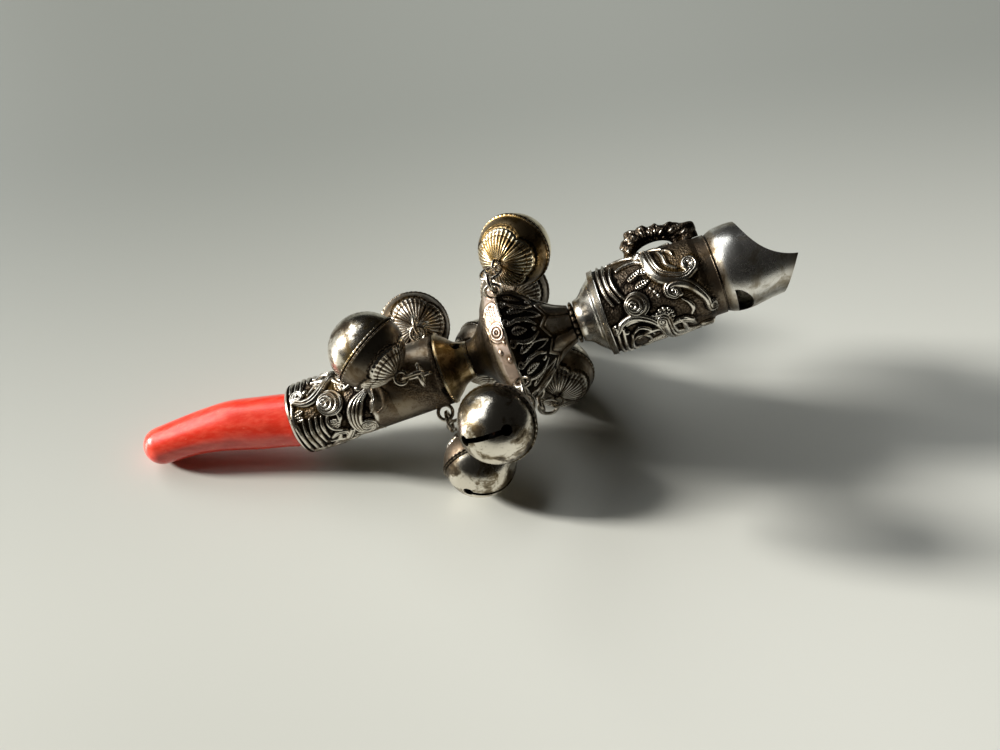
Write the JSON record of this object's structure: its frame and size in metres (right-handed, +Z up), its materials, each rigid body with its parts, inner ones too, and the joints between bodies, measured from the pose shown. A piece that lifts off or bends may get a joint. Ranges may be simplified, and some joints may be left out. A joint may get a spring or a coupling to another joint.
{
  "type": "coral and bells rattle",
  "caption": "Lying silver rattle with a bent coral teether, a chased sleeve, a ridged hollow body, a whistle with a scooped beak, and crotal bells on linked rings.",
  "frame": {"origin": "under the middle of the part's box, on the table that the rattle lies on", "axes": "+X from the coral's tip to the whistle's end, +Z up, +Y away from the side that the picture was taken from"},
  "size_m": [0.1428, 0.0678, 0.0502],
  "materials": {
    "polished_silver": "hand-polished silver with fine scratches",
    "oxidised_silver": "chased silver, dark in its recesses",
    "golden_tarnish_silver": "silver under a golden tarnish",
    "coral": "polished",
    "pitch": "hard dark pitch",
    "iron": "rough"
  },
  "bodies": {
    "rattle": {"coral_stick": "coral", "coral_cement": "pitch", "sleeve": "polished_silver", "sleeve_end_cap": "golden_tarnish_silver", "body_flare": "polished_silver", "body_shoulder": "oxidised_silver", "neck_bead_ring": "oxidised_silver", "whistle_skirt": "polished_silver", "whistle_base_plate": "oxidised_silver", "whistle_barrel": "oxidised_silver", "whistle_mouthpiece": "polished_silver", "whistle_block": "oxidised_silver", "ribbon_loop": "oxidised_silver"},
    "ridge_bell_1_link_inner": {"ridge_bell_1_link_inner": "oxidised_silver"},
    "ridge_bell_1_link_outer": {"ridge_bell_1_link_outer": "oxidised_silver"},
    "ridge_bell_1": {"ridge_bell_1_crown": "oxidised_silver", "ridge_bell_1_bowl": "polished_silver"},
    "ridge_bell_1_pellet": {"ridge_bell_1_pellet": "iron"},
    "ridge_bell_2_link_inner": {"ridge_bell_2_link_inner": "oxidised_silver"},
    "ridge_bell_2_link_outer": {"ridge_bell_2_link_outer": "oxidised_silver"},
    "ridge_bell_2": {"ridge_bell_2_crown": "oxidised_silver", "ridge_bell_2_bowl": "polished_silver"},
    "ridge_bell_2_pellet": {"ridge_bell_2_pellet": "iron"},
    "ridge_bell_3_link_inner": {"ridge_bell_3_link_inner": "oxidised_silver"},
    "ridge_bell_3_link_outer": {"ridge_bell_3_link_outer": "oxidised_silver"},
    "ridge_bell_3": {"ridge_bell_3_crown": "oxidised_silver", "ridge_bell_3_bowl": "polished_silver"},
    "ridge_bell_3_pellet": {"ridge_bell_3_pellet": "iron"},
    "ridge_bell_4_link_inner": {"ridge_bell_4_link_inner": "oxidised_silver"},
    "ridge_bell_4_link_outer": {"ridge_bell_4_link_outer": "oxidised_silver"},
    "ridge_bell_4": {"ridge_bell_4_crown": "oxidised_silver", "ridge_bell_4_bowl": "polished_silver"},
    "ridge_bell_4_pellet": {"ridge_bell_4_pellet": "iron"},
    "sleeve_bell_1_link_inner": {"sleeve_bell_1_link_inner": "oxidised_silver"},
    "sleeve_bell_1_link_outer": {"sleeve_bell_1_link_outer": "oxidised_silver"},
    "sleeve_bell_1": {"sleeve_bell_1_crown": "oxidised_silver", "sleeve_bell_1_bowl": "polished_silver"},
    "sleeve_bell_1_pellet": {"sleeve_bell_1_pellet": "iron"},
    "sleeve_bell_2_link_inner": {"sleeve_bell_2_link_inner": "oxidised_silver"},
    "sleeve_bell_2_link_outer": {"sleeve_bell_2_link_outer": "oxidised_silver"},
    "sleeve_bell_2": {"sleeve_bell_2_crown": "oxidised_silver", "sleeve_bell_2_bowl": "polished_silver"},
    "sleeve_bell_2_pellet": {"sleeve_bell_2_pellet": "iron"},
    "sleeve_bell_3_link_inner": {"sleeve_bell_3_link_inner": "oxidised_silver"},
    "sleeve_bell_3_link_outer": {"sleeve_bell_3_link_outer": "oxidised_silver"},
    "sleeve_bell_3": {"sleeve_bell_3_crown": "oxidised_silver", "sleeve_bell_3_bowl": "polished_silver"},
    "sleeve_bell_3_pellet": {"sleeve_bell_3_pellet": "iron"},
    "sleeve_bell_4_link_inner": {"sleeve_bell_4_link_inner": "oxidised_silver"},
    "sleeve_bell_4_link_outer": {"sleeve_bell_4_link_outer": "oxidised_silver"},
    "sleeve_bell_4": {"sleeve_bell_4_crown": "oxidised_silver", "sleeve_bell_4_bowl": "polished_silver"},
    "sleeve_bell_4_pellet": {"sleeve_bell_4_pellet": "iron"}
  },
  "joints": [
    {"name": "ridge_bell_1_swing_at_eye", "type": "hinge", "parent": "rattle", "child": "ridge_bell_1_link_inner", "pos_m": [0.01021, -0.01674, 0.03032], "axis": [0.9527, 0, 0.304], "range_deg": [-65, 29]},
    {"name": "ridge_bell_1_swing_at_links", "type": "hinge", "parent": "ridge_bell_1_link_inner", "child": "ridge_bell_1_link_outer", "pos_m": [0.01099, -0.01896, 0.02787], "axis": [-0.1987, -0.757, 0.6225], "range_deg": [-5, 185]},
    {"name": "ridge_bell_1_swing_at_bell", "type": "hinge", "parent": "ridge_bell_1_link_outer", "child": "ridge_bell_1", "pos_m": [0.00776, -0.01896, 0.02683], "axis": [0.2302, -0.6534, -0.7212], "range_deg": [-12, 58]},
    {"name": "ridge_bell_1_pellet_travel", "type": "slide", "parent": "ridge_bell_1", "child": "ridge_bell_1_pellet", "axis": [0, 0, 1], "range_m": [0, 0.0099]},
    {"name": "ridge_bell_2_swing_at_eye", "type": "hinge", "parent": "rattle", "child": "ridge_bell_2_link_inner", "pos_m": [0.00701, 0.00289, 0.04034], "axis": [0.9527, 0, 0.304], "range_deg": [-2, 102]},
    {"name": "ridge_bell_2_swing_at_links", "type": "hinge", "parent": "ridge_bell_2_link_inner", "child": "ridge_bell_2_link_outer", "pos_m": [0.00731, 0.00614, 0.03941], "axis": [0.2911, -0.289, -0.912], "range_deg": [-92, 63]},
    {"name": "ridge_bell_2_swing_at_bell", "type": "hinge", "parent": "ridge_bell_2_link_outer", "child": "ridge_bell_2", "pos_m": [0.00914, 0.00899, 0.03909], "axis": [0.7906, -0.4641, 0.3994], "range_deg": [-5, 89]},
    {"name": "ridge_bell_2_pellet_travel", "type": "slide", "parent": "ridge_bell_2", "child": "ridge_bell_2_pellet", "axis": [0, 0, 1], "range_m": [0, 0.0099]},
    {"name": "ridge_bell_3_swing_at_eye", "type": "hinge", "parent": "rattle", "child": "ridge_bell_3_link_inner", "pos_m": [0.01298, 0.01341, 0.02164], "axis": [0.9527, 0, 0.304], "range_deg": [-5, 47]},
    {"name": "ridge_bell_3_swing_at_links", "type": "hinge", "parent": "ridge_bell_3_link_inner", "child": "ridge_bell_3_link_outer", "pos_m": [0.01366, 0.01599, 0.01953], "axis": [0.2302, -0.6534, -0.7212], "range_deg": [-7, 77]},
    {"name": "ridge_bell_3_swing_at_bell", "type": "hinge", "parent": "ridge_bell_3_link_outer", "child": "ridge_bell_3", "pos_m": [0.01456, 0.01855, 0.01749], "axis": [0.9365, -0.0528, 0.3467], "range_deg": [-10, 75]},
    {"name": "ridge_bell_3_pellet_travel", "type": "slide", "parent": "ridge_bell_3", "child": "ridge_bell_3_pellet", "axis": [0, 0, 1], "range_m": [0, 0.0099]},
    {"name": "ridge_bell_4_swing_at_eye", "type": "hinge", "parent": "rattle", "child": "ridge_bell_4_link_inner", "pos_m": [0.01618, -0.00622, 0.01162], "axis": [0.9527, 0, 0.304], "range_deg": [-56, 3]},
    {"name": "ridge_bell_4_swing_at_links", "type": "hinge", "parent": "ridge_bell_4_link_inner", "child": "ridge_bell_4_link_outer", "pos_m": [0.0172, -0.0068, 0.00843], "axis": [-0.0517, -0.9854, 0.1622], "range_deg": [-95, 4]},
    {"name": "ridge_bell_4_swing_at_bell", "type": "hinge", "parent": "ridge_bell_4_link_outer", "child": "ridge_bell_4", "pos_m": [0.02044, -0.0068, 0.00946], "axis": [-0.2996, 0.1702, 0.9388], "range_deg": [-140, 8]},
    {"name": "ridge_bell_4_pellet_travel", "type": "slide", "parent": "ridge_bell_4", "child": "ridge_bell_4_pellet", "axis": [0, 0, 1], "range_m": [0, 0.0099]},
    {"name": "sleeve_bell_1_swing_at_eye", "type": "hinge", "parent": "rattle", "child": "sleeve_bell_1_link_inner", "pos_m": [-0.0047, -0.01, 0.0139], "axis": [0.9527, 0, 0.304], "range_deg": [-47, 33]},
    {"name": "sleeve_bell_1_swing_at_links", "type": "hinge", "parent": "sleeve_bell_1_link_inner", "child": "sleeve_bell_1_link_outer", "pos_m": [-0.00368, -0.00939, 0.01071], "axis": [0.0538, -0.9842, -0.1687], "range_deg": [-161, 29]},
    {"name": "sleeve_bell_1_swing_at_bell", "type": "hinge", "parent": "sleeve_bell_1_link_outer", "child": "sleeve_bell_1", "pos_m": [-0.00031, -0.00915, 0.01036], "axis": [0.1141, -0.1618, 0.9802], "range_deg": [-1, 33]},
    {"name": "sleeve_bell_1_pellet_travel", "type": "slide", "parent": "sleeve_bell_1", "child": "sleeve_bell_1_pellet", "axis": [0, 0, 1], "range_m": [0, 0.0099]},
    {"name": "sleeve_bell_2_swing_at_eye", "type": "hinge", "parent": "rattle", "child": "sleeve_bell_2_link_inner", "pos_m": [-0.00923, -0.00822, 0.02808], "axis": [0.9527, 0, 0.304], "range_deg": [-6, 102]},
    {"name": "sleeve_bell_2_swing_at_links", "type": "hinge", "parent": "sleeve_bell_2_link_inner", "child": "sleeve_bell_2_link_outer", "pos_m": [-0.01011, -0.00998, 0.03085], "axis": [-0.1575, 0.8554, 0.4935], "range_deg": [-2, 140]},
    {"name": "sleeve_bell_2_swing_at_bell", "type": "hinge", "parent": "sleeve_bell_2_link_outer", "child": "sleeve_bell_2", "pos_m": [-0.01345, -0.01029, 0.03031], "axis": [-0.0907, -0.5102, 0.8553], "range_deg": [-30, 23]},
    {"name": "sleeve_bell_2_pellet_travel", "type": "slide", "parent": "sleeve_bell_2", "child": "sleeve_bell_2_pellet", "axis": [0, 0, 1], "range_m": [0, 0.0099]},
    {"name": "sleeve_bell_3_swing_at_eye", "type": "hinge", "parent": "rattle", "child": "sleeve_bell_3_link_inner", "pos_m": [-0.00869, 0.00666, 0.02639], "axis": [0.9527, 0, 0.304], "range_deg": [-5, 120]},
    {"name": "sleeve_bell_3_swing_at_links", "type": "hinge", "parent": "sleeve_bell_3_link_inner", "child": "sleeve_bell_3_link_outer", "pos_m": [-0.00791, 0.0089, 0.02395], "axis": [0.2003, -0.7524, -0.6275], "range_deg": [-22, 5]},
    {"name": "sleeve_bell_3_swing_at_bell", "type": "hinge", "parent": "sleeve_bell_3_link_outer", "child": "sleeve_bell_3", "pos_m": [-0.008, 0.01107, 0.02133], "axis": [0.9794, 0.1705, 0.1082], "range_deg": [-13, 90]},
    {"name": "sleeve_bell_3_pellet_travel", "type": "slide", "parent": "sleeve_bell_3", "child": "sleeve_bell_3_pellet", "axis": [0, 0, 1], "range_m": [0, 0.0099]},
    {"name": "sleeve_bell_4_swing_at_eye", "type": "hinge", "parent": "rattle", "child": "sleeve_bell_4_link_inner", "pos_m": [-0.00416, 0.00489, 0.01221], "axis": [0.9527, 0, 0.304], "range_deg": [-12, 10]},
    {"name": "sleeve_bell_4_swing_at_links", "type": "hinge", "parent": "sleeve_bell_4_link_inner", "child": "sleeve_bell_4_link_outer", "pos_m": [-0.00314, 0.00549, 0.00902], "axis": [0.0538, -0.9842, -0.1687], "range_deg": [-90, 10]},
    {"name": "sleeve_bell_4_swing_at_bell", "type": "hinge", "parent": "sleeve_bell_4_link_outer", "child": "sleeve_bell_4", "pos_m": [0.00022, 0.00575, 0.00861], "axis": [0.1314, -0.1605, 0.9782], "range_deg": [-7, 5]},
    {"name": "sleeve_bell_4_pellet_travel", "type": "slide", "parent": "sleeve_bell_4", "child": "sleeve_bell_4_pellet", "axis": [0, 0, 1], "range_m": [0, 0.0099]}
  ]
}
